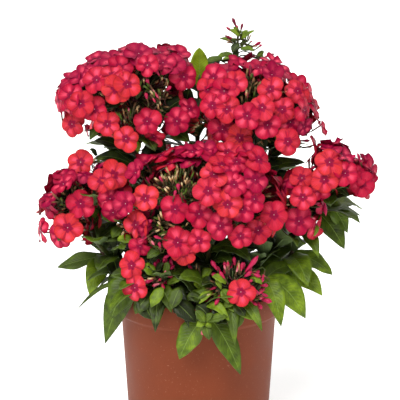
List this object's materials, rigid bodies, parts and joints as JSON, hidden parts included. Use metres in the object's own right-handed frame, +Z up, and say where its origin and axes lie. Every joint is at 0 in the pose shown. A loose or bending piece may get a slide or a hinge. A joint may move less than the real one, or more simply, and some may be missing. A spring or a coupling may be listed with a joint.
{
  "type": "potted phlox plant",
  "caption": "Garden phlox grown in a round tapered pot: domed heads of coral red, flat-faced florets and pointed buds over opposite lance-shaped green leaves.",
  "frame": {"origin": "middle of the pot's flat base, at the surface that it stands on", "axes": "+Z up, -Y towards the side where the flower heads show best, +X to the right as seen from there"},
  "size_m": [0.3648, 0.259, 0.4406],
  "materials": {
    "pot_plastic": "matte",
    "potting_soil": "matte",
    "foliage": "satin",
    "petals": "matte"
  },
  "bodies": {
    "root": {"pot": "pot_plastic", "soil": "potting_soil", "head_upper_left": "petals", "head_upper_right": "petals", "head_front": "petals", "head_left": "petals", "head_right": "petals", "head_back_left": "petals", "head_back_right": "petals", "head_back": "petals", "head_low_left": "petals", "head_low_front": "petals", "stem_upper_left": "foliage", "stem_upper_right": "foliage", "stem_front": "foliage", "stem_left": "foliage", "stem_right": "foliage", "stem_back_left": "foliage", "stem_back_right": "foliage", "stem_back": "foliage", "stem_low_left": "foliage", "stem_low_front": "foliage", "stem_tall_bud": "foliage", "stem_between_heads": "foliage", "stem_side_left": "foliage", "stem_side_right": "foliage", "stem_over_rim": "foliage", "stem_rim_left": "foliage", "stem_rim_right": "foliage", "stem_side_back": "foliage"}
  },
  "joints": []
}
